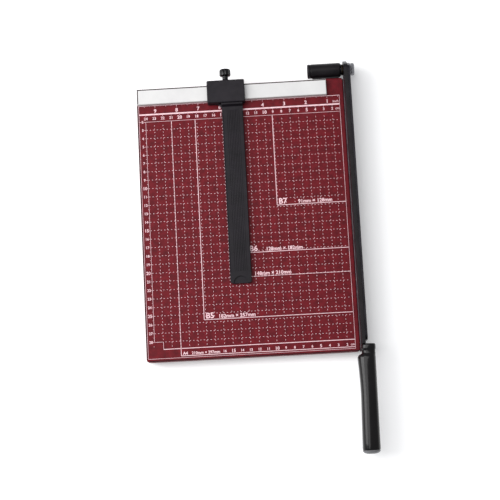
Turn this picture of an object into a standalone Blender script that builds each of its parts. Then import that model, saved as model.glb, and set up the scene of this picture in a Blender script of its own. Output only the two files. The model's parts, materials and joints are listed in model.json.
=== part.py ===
"""Guillotine paper cutter: steel base, spring-loaded cutting arm and sliding side gauge.

All sizes are in metres. The working frame has its zero where three planes meet: the cutting
plane (X = 0), the front face of the paper stop (Y = 0) and the bed that paper lies on (Z = 0).
X runs to the right, Y to the rear and Z up. The arm is modelled closed.
"""
import math

import bmesh
import bpy
from mathutils import Vector

MM = 0.001

# Clearances
TOUCH = 0.3 * MM            # between faces that bear on each other
BORE_PLAY = 0.3 * MM        # round a pin or screw, on the radius
EDGE_GAP = 0.15 * MM        # from either blade to the cutting plane

# Base tray
BED_LENGTH = 323.0 * MM
BED_WIDTH = 244.4 * MM
BED_REAR = 20.5 * MM        # rear edge behind the paper stop's front face
RIM_HEIGHT = 15.0 * MM
SHEET = 1.5 * MM
CORNER_RADIUS = 3.0 * MM
TOP_ROUND = 0.9 * MM

# Stiffeners under the bed
STIFFENER_WIDTH = 28.0 * MM
STIFFENER_DEPTH = 9.0 * MM
STIFFENER_SHEET = 1.2 * MM
STIFFENER_PLACES = (0.25, 0.79)     # shares of the bed's length, from the rear

# Rubber feet
FOOT_HEIGHT = 5.0 * MM
FOOT_RADIUS = 7.0 * MM
FOOT_STEM_RADIUS = 3.0 * MM
FOOT_BARB_RADIUS = 4.0 * MM
FOOT_BARB_HEIGHT = 2.6 * MM
FOOT_INSET = FOOT_RADIUS + 1.5 * MM
RIM_FLANGE = 2 * FOOT_RADIUS

# Paper-stop rule
RULE_WIDTH = 18.5 * MM
RULE_HEIGHT = 6.0 * MM
RULE_LEFT_INSET = 0.8 * MM
RULE_RIGHT_INSET = 20.1 * MM
RULE_LENGTH = BED_WIDTH - RULE_LEFT_INSET - RULE_RIGHT_INSET
RULE_CHAMFER = 0.5 * MM
RULE_SCREWS = 3
RULE_SCREW_BACK = 3.5 * MM          # behind the rule's front face
RULE_SCREW_RADIUS = 1.4 * MM
RULE_SCREW_HEAD_RADIUS = 2 * RULE_SCREW_RADIUS
RULE_SCREW_HEAD = 2.0 * MM
RULE_SCREW_LENGTH = 5.0 * MM

# Fixed blade
FIXED_BLADE_THICKNESS = 5.2 * MM
FIXED_BLADE_DEPTH = RIM_HEIGHT - 1.0 * MM
BLADE_SCREW_RADIUS = 2.0 * MM
BLADE_SCREW_HEAD_RADIUS = 2 * BLADE_SCREW_RADIUS
BLADE_SCREW_RIM = 0.4 * MM
BLADE_SCREW_DROP = FIXED_BLADE_DEPTH / 2    # axis below the bed
BLADE_SCREWS = 4
BLADE_SCREW_END = 24.5 * MM         # first and last screw, from the ends of the blade
BLADE_NUT_THICKNESS = 3.2 * MM
BLADE_NUT_FLATS = 3.5 * BLADE_SCREW_RADIUS

# Hinge
BOLT_RADIUS = 3.9 * MM
BOLT_HEAD_RADIUS = BOLT_RADIUS + 1.6 * MM
HOUSING_BORE = BOLT_HEAD_RADIUS + 0.5 * MM
HOUSING_RADIUS = HOUSING_BORE + 2.4 * MM
PIVOT_BEHIND = HOUSING_RADIUS + 2.3 * MM     # axis behind the bed's rear edge
PIVOT_DROP = 4.0 * MM               # axis below the bed
HOUSING_LENGTH = 37.1 * MM
HOUSING_END_WALL = 6.3 * MM
HOUSING_ROUND = 3.0 * MM
CAP_THICKNESS = 2.6 * MM
CAP_SPIGOT = 2.8 * MM
BOLT_HEAD = 5.0 * MM
SPRING_WASHER = 1.2 * MM
SPRING_WIRE = 1.3 * MM
SPRING_TURNS = 7
FRICTION_WASHER = 1.5 * MM
FRICTION_WASHER_RADIUS = BOLT_RADIUS + 2.6 * MM
ARM_WASHER = 1.2 * MM
ARM_WASHER_RADIUS = BOLT_RADIUS + 4.1 * MM
PIVOT_NUT = 4.4 * MM
PIVOT_NUT_FLATS = 2 * BOLT_RADIUS + 5.2 * MM
BOLT_PROUD = 0.2 * MM
BRACKET_LENGTH = 31.0 * MM
BRACKET_SCREW_RADIUS = 2.0 * MM
BRACKET_SCREW_HEAD_RADIUS = 3.5 * MM
BRACKET_SCREW_HEAD = 2.2 * MM
BRACKET_SCREW_PITCH = 16.0 * MM
BRACKET_SCREW_DROP = 9.0 * MM
BRACKET_FOOT = 3.0 * MM

# Arm
ARM_SHORTFALL = 8.0 * MM             # front of the bar behind the front of the bed
ARM_REACH = BED_LENGTH + PIVOT_BEHIND - ARM_SHORTFALL    # pivot to the shoulder at the grip
BAR_THICKNESS = 4.2 * MM
BAR_HEIGHT = 15.5 * MM
BAR_RISE = 8.0 * MM                 # underside of the bar above the pivot axis
BAR_REST_GAP = 0.6 * MM             # under the front of the closed bar
BOSS_RADIUS = BOLT_RADIUS + 5.9 * MM
UPPER_ROUND = 7.0 * MM               # rear top corner of the bar
UPPER_BACK = 4.2 * MM                # its centre, in front of the pivot
REAR_SLOPE = 21.0                    # degrees, of the rear edge between boss and corner
TANG_LENGTH = 105.0 * MM
TANG_INSET = 3.0 * MM
TANG_THICKNESS = 2.9 * MM
MOVING_BLADE_THICKNESS = 2.6 * MM
MOVING_BLADE_ROOT = BOLT_RADIUS + 4.1 * MM
MOVING_BLADE_TOP_INSET = 3.0 * MM
MOVING_BLADE_TIP_DROP = 5.0 * MM    # edge below the pivot axis at the front
MOVING_BLADE_BOW = 4.0 * MM
MOVING_BLADE_FRONT_GAP = 4.0 * MM
MOVING_BLADE_CORNER = 6.0 * MM
MOVING_BLADE_GRIND = 1.5 * MM
ARM_SCREWS = 4
ARM_SCREW_RADIUS = 2.2 * MM
ARM_SCREW_HEAD_RADIUS = ARM_SCREW_RADIUS + 1.7 * MM
ARM_SCREW_END = 30.0 * MM

# Grip
COLLAR_WIDTH = 16.4 * MM
COLLAR_HEIGHT = 16.0 * MM
COLLAR_LENGTH = 6.0 * MM
COLLAR_SHIFT = 1.1 * MM             # to the right of the body's centre
COLLAR_LIFT = 1.0 * MM              # centre of the collar above the bar's centre line
GROOVE_WIDTH = 15.4 * MM
GROOVE_HEIGHT = 15.0 * MM
GROOVE_LENGTH = 4.0 * MM
GRIP_LENGTH = 118.6 * MM
GRIP_ROOT_WIDTH = 18.0 * MM
GRIP_END_WIDTH = 20.2 * MM
GRIP_ROOT_HEIGHT = 21.0 * MM
GRIP_END_HEIGHT = 23.0 * MM
GRIP_ROOT_SHIFT = 1.8 * MM           # centre to the right of the cutting plane
GRIP_END_SHIFT = -0.9 * MM
GRIP_FLARE = 2.5 * MM               # swell of the left side behind the groove
GRIP_FLARE_END = 60.0 * MM
GRIP_SQUARENESS = 2.6
END_CAP_LENGTH = 4.3 * MM
END_CAP_SPIGOT = 7.0 * MM
END_CAP_SPIGOT_RADIUS = 4.0 * MM
PIN_RADIUS = 1.5 * MM
PIN_INSET = 20.0 * MM

# Side gauge
GAUGE_PLACE = -143.9 * MM            # centre of the head
HEAD_WIDTH = 44.2 * MM
HEAD_FRONT = 4.3 * MM               # in front of the paper stop's face
HEAD_REAR_WALL = 3.5 * MM
HEAD_TOP = RULE_HEIGHT + 6.0 * MM
HEAD_FLOAT = 0.4 * MM               # above the bed
HEAD_PLAY = 0.6 * MM                # on the rule, front and rear
HEAD_CORNER = 1.5 * MM
HEAD_ROUND = 1.0 * MM
STUD_RADIUS = 2.0 * MM
HEAD_BOSS_RADIUS = STUD_RADIUS + 2.2 * MM
HEAD_BOSS_LENGTH = 1.8 * MM
GAUGE_ARM_WIDTH = 24.7 * MM
GAUGE_ARM_SHIFT = 6.55 * MM          # centre of the arm, right of the head's centre
GAUGE_ARM_LENGTH = 212.9 * MM
GAUGE_ARM_THICKNESS = 4.2 * MM
GAUGE_ARM_CORNER = 3.0 * MM
GAUGE_RISER = 3.4 * MM
GAUGE_GUSSET_WIDTH = 6.5 * MM
GAUGE_GUSSET_LENGTH = 6.0 * MM
TONGUE_LENGTH = 19.0 * MM
TONGUE_THICKNESS = 2.7 * MM
THUMB_RECESS_RADIUS = 8.5 * MM
THUMB_RECESS_DEPTH = 1.6 * MM
GAUGE_SCREW_RADIUS = 1.4 * MM
GAUGE_SCREW_HEAD_RADIUS = 2.5 * MM
GAUGE_SCREW_LENGTH = 4.3 * MM
GAUGE_SCREW_PITCH = 13.0 * MM

# Clamp screw of the side gauge
CLAMP_HEIGHT = 3.4 * MM
KNOB_NECK_RADIUS = STUD_RADIUS + 1.4 * MM
KNOB_NECK = 4.2 * MM
KNOB_RADIUS = 6.6 * MM
KNOB_LENGTH = 8.2 * MM
KNOB_ROUND = 1.2 * MM
KNOB_FLUTES = 12
KNOB_FLUTE_DEPTH = 0.35 * MM
KNOB_SOCKET = KNOB_NECK + 0.4 * MM

# Resolution of round shapes
SIDES = 24
SCREW_SIDES = 12
ARC_STEPS = 5

# Places that follow from the sizes above
BED_RIGHT = -(EDGE_GAP + FIXED_BLADE_THICKNESS + TOUCH)
BED_LEFT = BED_RIGHT - BED_WIDTH
BED_FRONT = BED_REAR - BED_LENGTH
RULE_LEFT = BED_LEFT + RULE_LEFT_INSET
PIVOT_Y = BED_REAR + PIVOT_BEHIND
PIVOT_Z = -PIVOT_DROP
BAR_LEFT = -EDGE_GAP - BAR_THICKNESS
BLADE_RIGHT = EDGE_GAP + MOVING_BLADE_THICKNESS
HOUSING_RIGHT = BAR_LEFT - TOUCH - FRICTION_WASHER - TOUCH
HOUSING_LEFT = HOUSING_RIGHT - HOUSING_LENGTH
BAR_TOP = BAR_RISE + BAR_HEIGHT
ARM_TILT = math.asin((PIVOT_Z + BAR_RISE - BAR_REST_GAP) / ARM_REACH)
GRIP_START = -ARM_REACH - TOUCH
GRIP_END = GRIP_START - GRIP_LENGTH
GRIP_CENTRE = BAR_RISE + BAR_HEIGHT / 2
HEAD_REAR = RULE_WIDTH + HEAD_PLAY + HEAD_REAR_WALL
HEAD_CEILING = RULE_HEIGHT + TOUCH
TONGUE_BOTTOM = HEAD_CEILING + TOUCH
TONGUE_TOP = TONGUE_BOTTOM + TONGUE_THICKNESS
NUT_LEFT = BLADE_RIGHT + TOUCH + ARM_WASHER + TOUCH
BOLT_END = NUT_LEFT + PIVOT_NUT + BOLT_PROUD

DIRECTIONS = {
    "X": (Vector((1, 0, 0)), Vector((0, 1, 0))),
    "Y": (Vector((0, 1, 0)), Vector((0, 0, 1))),
    "Z": (Vector((0, 0, 1)), Vector((1, 0, 0))),
}


def material(name, colour, roughness, metallic):
    """A plain finish: base colour, roughness and metallic value."""
    finish = bpy.data.materials.new(name)
    finish.use_nodes = True
    shader = finish.node_tree.nodes["Principled BSDF"]
    shader.inputs["Base Color"].default_value = (*colour, 1.0)
    shader.inputs["Roughness"].default_value = roughness
    shader.inputs["Metallic"].default_value = metallic
    return finish


def empty(name, place, parent=None, tilt=0.0):
    """A pivot or a slide's zero, which the pieces of one body hang on."""
    pivot = bpy.data.objects.new(name, None)
    bpy.context.scene.collection.objects.link(pivot)
    pivot.location = place
    pivot.rotation_euler.x = tilt
    pivot.parent = parent
    return pivot


def add(name, shape, finish, parent):
    """Turn a finished bmesh, given in its parent's frame, into a named piece."""
    mesh = bpy.data.meshes.new(name)
    shape.to_mesh(mesh)
    shape.free()
    mesh.materials.append(finish)
    mesh.shade_smooth()
    mesh.set_sharp_from_angle(angle=math.radians(35))
    piece = bpy.data.objects.new(name, mesh)
    bpy.context.scene.collection.objects.link(piece)
    piece.parent = parent
    return piece


def tool(name, shapes, parent):
    """Join shapes into one hidden tool body for a Boolean."""
    mesh = bpy.data.meshes.new(name)
    whole = bmesh.new()
    for shape in shapes:
        shape.to_mesh(mesh)
        shape.free()
        whole.from_mesh(mesh)
    whole.to_mesh(mesh)
    whole.free()
    body = bpy.data.objects.new(name, mesh)
    bpy.context.scene.collection.objects.link(body)
    body.parent = parent
    body.hide_render = True
    body.display_type = "WIRE"
    return body


def combine(piece, body, operation):
    step = piece.modifiers.new(body.name, "BOOLEAN")
    step.operation = operation
    step.solver = "EXACT"
    step.object = body


def cut(piece, name, *shapes):
    """Take shapes away from a piece."""
    combine(piece, tool(name, shapes, piece.parent), "DIFFERENCE")


def weld(piece, name, *shapes):
    """Grow a piece by shapes that overlap it."""
    combine(piece, tool(name, shapes, piece.parent), "UNION")


def arc(centre, radius, start, end, steps=ARC_STEPS):
    """Points on a circular arc; the angles are in degrees."""
    turns = [math.radians(start + (end - start) * i / steps) for i in range(steps + 1)]
    return [(centre[0] + radius * math.cos(t), centre[1] + radius * math.sin(t)) for t in turns]


def rounded_rectangle(left, right, front, rear, radius):
    corners = (
        ((right - radius, rear - radius), 0),
        ((left + radius, rear - radius), 90),
        ((left + radius, front + radius), 180),
        ((right - radius, front + radius), 270),
    )
    return [p for centre, start in corners for p in arc(centre, radius, start, start + 90, 4)]


def hexagon(centre, flats):
    reach = flats / 2 / math.cos(math.radians(30))
    return arc(centre, reach, 0, 300, 5)


def prism(outline, axis, start, end):
    """Extrude an outline along X (points are Y, Z), Y (X, Z) or Z (X, Y)."""
    lay = {
        "X": lambda u, v, w: (w, u, v),
        "Y": lambda u, v, w: (u, w, v),
        "Z": lambda u, v, w: (u, v, w),
    }[axis]
    shape = bmesh.new()
    face = shape.faces.new([shape.verts.new(lay(u, v, start)) for u, v in outline])
    grown = bmesh.ops.extrude_face_region(shape, geom=[face])["geom"]
    moved = [item for item in grown if isinstance(item, bmesh.types.BMVert)]
    bmesh.ops.translate(shape, verts=moved, vec=Vector(lay(0, 0, end - start)))
    bmesh.ops.recalc_face_normals(shape, faces=shape.faces)
    return shape


def block(left, right, front, rear, bottom, top):
    outline = [(left, front), (right, front), (right, rear), (left, rear)]
    return prism(outline, "Z", bottom, top)


def turned(profile, axis, centre, ring=False, sides=SIDES):
    """Turn (distance, radius) points about an axis; a ring's profile closes on itself."""
    along, outward = DIRECTIONS[axis]
    centre = Vector(centre)
    shape = bmesh.new()
    verts = [shape.verts.new(centre + along * a + outward * r) for a, r in profile]
    edges = [shape.edges.new(pair) for pair in zip(verts, verts[1:])]
    if ring:
        edges.append(shape.edges.new((verts[-1], verts[0])))
    bmesh.ops.spin(shape, geom=verts + edges, cent=centre, axis=along,
                   angle=2 * math.pi, steps=sides, use_merge=True)
    bmesh.ops.remove_doubles(shape, verts=shape.verts, dist=MM / 1000)
    bmesh.ops.recalc_face_normals(shape, faces=shape.faces)
    return shape


def rod(axis, centre, start, end, radius, sides=SCREW_SIDES):
    profile = [(start, 0), (start, radius), (end, radius), (end, 0)]
    return turned(profile, axis, centre, sides=sides)


def washer(axis, centre, start, end, outer, inner):
    profile = [(start, inner), (start, outer), (end, outer), (end, inner)]
    return turned(profile, axis, centre, ring=True)


def countersunk(axis, centre, tip, face, radius, head_radius, rim, play=0.0, past=0.0):
    """A countersunk screw from its tip to its flat face, or the hole for one."""
    way = 1 if face > tip else -1
    head_start = face - way * (rim + head_radius - radius)
    profile = [
        (tip, 0), (tip, radius + play), (head_start, radius + play),
        (face - way * rim, head_radius + play), (face + way * past, head_radius + play),
        (face + way * past, 0),
    ]
    return turned(profile, axis, centre, sides=SCREW_SIDES)


def panhead(axis, centre, tip, seat, radius, head_radius, head):
    """A pan-head screw; the head lies beyond its seat, away from the tip."""
    way = 1 if seat > tip else -1
    crown = head * 0.35
    profile = [
        (tip, 0), (tip, radius), (seat, radius), (seat, head_radius),
        (seat + way * (head - crown), head_radius), (seat + way * head, head_radius - crown),
        (seat + way * head, 0),
    ]
    return turned(profile, axis, centre, sides=SCREW_SIDES)


def loft(rings):
    """Skin a row of closed point rings, point to matching point, and close both ends."""
    shape = bmesh.new()
    loops = [[shape.verts.new(point) for point in ring] for ring in rings]
    for near, far in zip(loops, loops[1:]):
        for i, vert in enumerate(near):
            shape.faces.new((near[i - 1], vert, far[i], far[i - 1]))
    shape.faces.new(loops[0])
    shape.faces.new(loops[-1])
    bmesh.ops.recalc_face_normals(shape, faces=shape.faces)
    return shape


def spread(first, last, count):
    """Evenly spaced places from first to last."""
    return [first + (last - first) * i / (count - 1) for i in range(count)]


def bevel(shape, chosen, size, segments):
    """Round or chamfer the edges that a test picks."""
    edges = [edge for edge in shape.edges if chosen(edge)]
    bmesh.ops.bevel(shape, geom=edges, offset=size, segments=segments, profile=0.5,
                    affect="EDGES", material=-1)


def at_height(level):
    """A test for edges that lie at one height."""
    return lambda edge: all(abs(vert.co.z - level) < MM / 100 for vert in edge.verts)


# Base ---------------------------------------------------------------------------------------

def foot_places():
    for x in (BED_LEFT + FOOT_INSET, BED_RIGHT - FOOT_INSET):
        for y in (BED_FRONT + FOOT_INSET, BED_REAR - FOOT_INSET):
            yield x, y


def rule_screw_places():
    inset = RULE_LENGTH / (2 * RULE_SCREWS)
    ends = (RULE_LEFT + inset, RULE_LEFT + RULE_LENGTH - inset)
    return [(x, RULE_SCREW_BACK) for x in spread(*ends, RULE_SCREWS)]


def blade_screw_places():
    return spread(BED_FRONT + BLADE_SCREW_END, BED_REAR - BLADE_SCREW_END, BLADE_SCREWS)


def bracket_screw_places():
    middle = (HOUSING_LEFT + HOUSING_RIGHT) / 2
    return [middle - BRACKET_SCREW_PITCH / 2, middle + BRACKET_SCREW_PITCH / 2]


def base_tray(finish, parent):
    """Pressed steel bed with a rim all round that is folded in at the bottom."""
    edges = (BED_LEFT, BED_RIGHT, BED_FRONT, BED_REAR)

    def inset(amount):
        return (edges[0] + amount, edges[1] - amount, edges[2] + amount, edges[3] - amount)

    shape = prism(rounded_rectangle(*edges, CORNER_RADIUS), "Z", -RIM_HEIGHT, 0)
    bevel(shape, at_height(0), TOP_ROUND, 2)
    tray = add("base_tray", shape, finish, parent)
    hollow = rounded_rectangle(*inset(SHEET), CORNER_RADIUS - SHEET)
    mouth = rounded_rectangle(*inset(RIM_FLANGE), CORNER_RADIUS)
    cut(tray, "tray_hollow", prism(hollow, "Z", SHEET - RIM_HEIGHT, -SHEET))
    cut(tray, "tray_mouth", prism(mouth, "Z", -RIM_HEIGHT - SHEET, 2 * SHEET - RIM_HEIGHT))
    holes = [rod("Z", (x, y, 0), -3 * SHEET, SHEET, RULE_SCREW_RADIUS + BORE_PLAY)
             for x, y in rule_screw_places()]
    holes += [rod("Z", (x, y, -RIM_HEIGHT), -SHEET, 2 * SHEET, FOOT_STEM_RADIUS + BORE_PLAY)
              for x, y in foot_places()]
    holes += [rod("X", (BED_RIGHT, y, -BLADE_SCREW_DROP), -2 * SHEET, SHEET,
                  BLADE_SCREW_RADIUS + BORE_PLAY) for y in blade_screw_places()]
    holes += [rod("Y", (x, BED_REAR, -BRACKET_SCREW_DROP), -2 * SHEET, SHEET,
                  BRACKET_SCREW_RADIUS + BORE_PLAY) for x in bracket_screw_places()]
    cut(tray, "tray_holes", *holes)


def stiffeners(finish, parent):
    """Hat sections across the underside of the bed."""
    top = -SHEET - TOUCH
    bottom = top - STIFFENER_DEPTH
    half = STIFFENER_WIDTH / 2
    crown = half / 2
    wall = STIFFENER_SHEET
    profile = [
        (-half, top), (-crown + wall, top), (-crown + wall, bottom + wall),
        (crown - wall, bottom + wall), (crown - wall, top), (half, top), (half, top - wall),
        (crown, top - wall), (crown, bottom), (-crown, bottom), (-crown, top - wall),
        (-half, top - wall),
    ]
    ends = (BED_LEFT + SHEET + TOUCH, BED_RIGHT - SHEET - TOUCH)
    for label, share in zip(("rear", "front"), STIFFENER_PLACES):
        y = BED_REAR - share * BED_LENGTH
        outline = [(y + across, z) for across, z in profile]
        add(f"stiffener_{label}", prism(outline, "X", *ends), finish, parent)


def feet(finish, parent):
    """Rubber feet pushed through the bottom fold of the rim."""
    under = -RIM_HEIGHT - TOUCH
    over = SHEET - RIM_HEIGHT + TOUCH
    ground = -RIM_HEIGHT - FOOT_HEIGHT
    profile = [
        (ground, 0), (ground, FOOT_RADIUS - 1 * MM), (ground + 1 * MM, FOOT_RADIUS),
        (under, FOOT_RADIUS), (under, FOOT_STEM_RADIUS), (over, FOOT_STEM_RADIUS),
        (over, FOOT_BARB_RADIUS), (over + FOOT_BARB_HEIGHT, FOOT_STEM_RADIUS - 1 * MM),
        (over + FOOT_BARB_HEIGHT, 0),
    ]
    for number, (x, y) in enumerate(foot_places(), 1):
        add(f"foot_{number}", turned(profile, "Z", (x, y, 0), sides=16), finish, parent)


def paper_stop(finish, screw_finish, parent):
    """The rule that paper is squared against, held by screws from underneath."""
    shape = block(RULE_LEFT, RULE_LEFT + RULE_LENGTH, 0, RULE_WIDTH, TOUCH, RULE_HEIGHT)
    bevel(shape, at_height(RULE_HEIGHT), RULE_CHAMFER, 1)
    rule = add("paper_stop_rule", shape, finish, parent)
    tip = RULE_SCREW_LENGTH - SHEET - TOUCH
    cut(rule, "rule_screw_holes",
        *[rod("Z", (x, y, 0), -SHEET, tip + TOUCH, RULE_SCREW_RADIUS + BORE_PLAY)
          for x, y in rule_screw_places()])
    for number, (x, y) in enumerate(rule_screw_places(), 1):
        screw = panhead("Z", (x, y, 0), tip, -SHEET - TOUCH, RULE_SCREW_RADIUS,
                        RULE_SCREW_HEAD_RADIUS, RULE_SCREW_HEAD)
        add(f"rule_screw_{number}", screw, screw_finish, parent)


def fixed_blade(finish, screw_finish, parent):
    """The lower blade: a ground bar screwed to the right wall of the tray."""
    left = -EDGE_GAP - FIXED_BLADE_THICKNESS
    shape = block(left, -EDGE_GAP, BED_FRONT, BED_REAR, -FIXED_BLADE_DEPTH, 0)
    blade = add("fixed_blade", shape, finish, parent)
    face = -EDGE_GAP - TOUCH
    nut_right = BED_RIGHT - SHEET - TOUCH
    tip = nut_right - BLADE_NUT_THICKNESS - TOUCH
    centres = [(0, y, -BLADE_SCREW_DROP) for y in blade_screw_places()]
    cut(blade, "fixed_blade_holes",
        *[countersunk("X", centre, left - SHEET, face, BLADE_SCREW_RADIUS,
                      BLADE_SCREW_HEAD_RADIUS, BLADE_SCREW_RIM, BORE_PLAY, 2 * TOUCH)
          for centre in centres])
    threads = tool("blade_nut_threads",
                   [rod("X", centre, tip - TOUCH, nut_right + TOUCH,
                        BLADE_SCREW_RADIUS + BORE_PLAY) for centre in centres], parent)
    for number, centre in enumerate(centres, 1):
        screw = countersunk("X", centre, tip, face, BLADE_SCREW_RADIUS,
                            BLADE_SCREW_HEAD_RADIUS, BLADE_SCREW_RIM)
        add(f"fixed_blade_screw_{number}", screw, screw_finish, parent)
        shape = prism(hexagon(centre[1:], BLADE_NUT_FLATS), "X",
                      nut_right - BLADE_NUT_THICKNESS, nut_right)
        nut = add(f"fixed_blade_nut_{number}", shape, screw_finish, parent)
        combine(nut, threads, "DIFFERENCE")


# Hinge --------------------------------------------------------------------------------------

def hinge_bracket(finish, screw_finish, parent):
    """Cradle on the rear wall that the hinge housing is welded into."""
    wall = BED_REAR + TOUCH
    reach = HOUSING_RADIUS + TOUCH
    bottom = PIVOT_Z - reach - BRACKET_FOOT
    cradle = arc((PIVOT_Y, PIVOT_Z), reach, -75, -172, 10)
    lip = PIVOT_Y - reach - TOUCH / 4
    top = PIVOT_Z + BRACKET_FOOT
    outline = [(wall, top), (wall, bottom), (cradle[0][0], bottom), *cradle,
               (lip, PIVOT_Z), (lip, top)]
    middle = (HOUSING_LEFT + HOUSING_RIGHT) / 2
    ends = (middle - BRACKET_LENGTH / 2, middle + BRACKET_LENGTH / 2)
    bracket = add("hinge_bracket", prism(outline, "X", *ends), finish, parent)
    drop = PIVOT_DROP - BRACKET_SCREW_DROP
    surface = PIVOT_Y - math.sqrt(reach ** 2 - drop ** 2)
    tip = surface - 3 * TOUCH
    seat = BED_REAR - SHEET - TOUCH
    centres = [(x, 0, -BRACKET_SCREW_DROP) for x in bracket_screw_places()]
    cut(bracket, "bracket_holes",
        *[rod("Y", centre, BED_REAR, tip + TOUCH, BRACKET_SCREW_RADIUS + BORE_PLAY)
          for centre in centres])
    for number, centre in enumerate(centres, 1):
        screw = panhead("Y", centre, tip, seat, BRACKET_SCREW_RADIUS,
                        BRACKET_SCREW_HEAD_RADIUS, BRACKET_SCREW_HEAD)
        add(f"bracket_screw_{number}", screw, screw_finish, parent)


def hinge_housing(finish, cap_finish, parent):
    """Tube that holds the arm's spring and bolt, with a plug in its left end."""
    centre = (0, PIVOT_Y, PIVOT_Z)
    bolt_bore = BOLT_RADIUS + BORE_PLAY
    shoulder = arc((HOUSING_RIGHT - HOUSING_ROUND, HOUSING_RADIUS - HOUSING_ROUND),
                   HOUSING_ROUND, 0, 90, 4)
    end_wall = HOUSING_RIGHT - HOUSING_END_WALL
    profile = [(HOUSING_LEFT, HOUSING_BORE), (end_wall, HOUSING_BORE), (end_wall, bolt_bore),
               (HOUSING_RIGHT, bolt_bore), *shoulder, (HOUSING_LEFT, HOUSING_RADIUS)]
    add("hinge_housing", turned(profile, "X", centre, ring=True), finish, parent)
    face = HOUSING_LEFT - TOUCH
    outer = face - CAP_THICKNESS
    spigot = HOUSING_BORE - BORE_PLAY
    chamfer = 0.8 * MM
    profile = [(outer, 0), (outer, HOUSING_RADIUS - chamfer), (outer + chamfer, HOUSING_RADIUS),
               (face, HOUSING_RADIUS), (face, spigot), (face + CAP_SPIGOT, spigot),
               (face + CAP_SPIGOT, 0)]
    add("housing_end_cap", turned(profile, "X", centre), cap_finish, parent)


def pivot_set(steel, brass, parent):
    """Bolt, spring, washers and nut, which turn with the arm."""
    centre = (0, 0, 0)
    head_left = HOUSING_LEFT - TOUCH + CAP_SPIGOT + 2 * TOUCH
    head_right = head_left + BOLT_HEAD
    chamfer = 0.8 * MM
    profile = [(head_left, 0), (head_left, BOLT_HEAD_RADIUS), (head_right, BOLT_HEAD_RADIUS),
               (head_right, BOLT_RADIUS), (BOLT_END - chamfer, BOLT_RADIUS),
               (BOLT_END, BOLT_RADIUS - chamfer), (BOLT_END, 0)]
    add("pivot_bolt", turned(profile, "X", centre), steel, parent)
    bore = BOLT_RADIUS + BORE_PLAY
    seat = head_right + TOUCH
    add("spring_washer", washer("X", centre, seat, seat + SPRING_WASHER, BOLT_HEAD_RADIUS, bore),
        steel, parent)
    spring_left = seat + SPRING_WASHER + TOUCH
    pivot_spring(spring_left, HOUSING_RIGHT - HOUSING_END_WALL - TOUCH, steel, parent)
    left = HOUSING_RIGHT + TOUCH
    add("friction_washer", washer("X", centre, left, left + FRICTION_WASHER,
                                  FRICTION_WASHER_RADIUS, bore), brass, parent)
    left = BLADE_RIGHT + TOUCH
    add("arm_washer", washer("X", centre, left, left + ARM_WASHER, ARM_WASHER_RADIUS, bore),
        steel, parent)
    shape = prism(hexagon((0, 0), PIVOT_NUT_FLATS), "X", NUT_LEFT, NUT_LEFT + PIVOT_NUT)
    nut = add("pivot_nut", shape, steel, parent)
    cut(nut, "pivot_nut_thread", rod("X", centre, NUT_LEFT - TOUCH, BOLT_END + TOUCH, bore,
                                      SIDES))


def pivot_spring(left, right, finish, parent):
    """Compression spring: a helix of round wire with closed ends."""
    wire = SPRING_WIRE / 2
    radius = BOLT_RADIUS + BORE_PLAY + wire
    points = 10 * SPRING_TURNS
    start = left + wire
    pitch = (right - wire - start) / points
    helix = bpy.data.curves.new("pivot_spring", "CURVE")
    helix.dimensions = "3D"
    helix.bevel_depth = wire
    helix.bevel_resolution = 1
    helix.use_fill_caps = True
    helix.materials.append(finish)
    line = helix.splines.new("POLY")
    line.points.add(points)
    for i, point in enumerate(line.points):
        turn = 2 * math.pi * SPRING_TURNS * i / points
        point.co = (start + pitch * i, radius * math.cos(turn), radius * math.sin(turn), 1)
    spring = bpy.data.objects.new("pivot_spring", helix)
    bpy.context.scene.collection.objects.link(spring)
    spring.parent = parent


# Arm ----------------------------------------------------------------------------------------

def arm_screw_places():
    height = BAR_RISE + (BAR_HEIGHT - MOVING_BLADE_TOP_INSET) / 2
    return [(0, y, height) for y in spread(-ARM_REACH + ARM_SCREW_END, -ARM_SCREW_END,
                                           ARM_SCREWS)]


def arm_bar(finish, parent):
    """Painted bar from the pivot boss to the tang inside the grip."""
    meet = math.degrees(math.acos(-math.sqrt(BOSS_RADIUS ** 2 - BAR_RISE ** 2) / BOSS_RADIUS))
    tang_end = -ARM_REACH - TANG_LENGTH
    tang_low = BAR_RISE + TANG_INSET
    tang_high = BAR_TOP - TANG_INSET
    outline = [
        (tang_end, tang_low), (-ARM_REACH, tang_low), (-ARM_REACH, BAR_RISE),
        *arc((0, 0), BOSS_RADIUS, meet, 360 + REAR_SLOPE, 17),
        *arc((-UPPER_BACK, BAR_TOP - UPPER_ROUND), UPPER_ROUND, REAR_SLOPE, 90, 7),
        (-ARM_REACH, BAR_TOP), (-ARM_REACH, tang_high), (tang_end, tang_high),
    ]
    bar = add("arm_bar", prism(outline, "X", BAR_LEFT, -EDGE_GAP), finish, parent)
    tang_left = -EDGE_GAP - TANG_THICKNESS
    cut(bar, "tang_relief",
        block(BAR_LEFT - MM, tang_left, tang_end - MM, -ARM_REACH, BAR_RISE, BAR_TOP))
    holes = [rod("X", (0, 0, 0), BAR_LEFT - MM, MM, BOLT_RADIUS + BORE_PLAY, SIDES)]
    holes += [rod("X", centre, BAR_LEFT - MM, MM, ARM_SCREW_RADIUS + BORE_PLAY)
              for centre in arm_screw_places()]
    holes.append(rod("X", pin_centre(), BAR_LEFT - MM, MM, PIN_RADIUS + BORE_PLAY))
    cut(bar, "arm_bar_holes", *holes)


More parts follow.
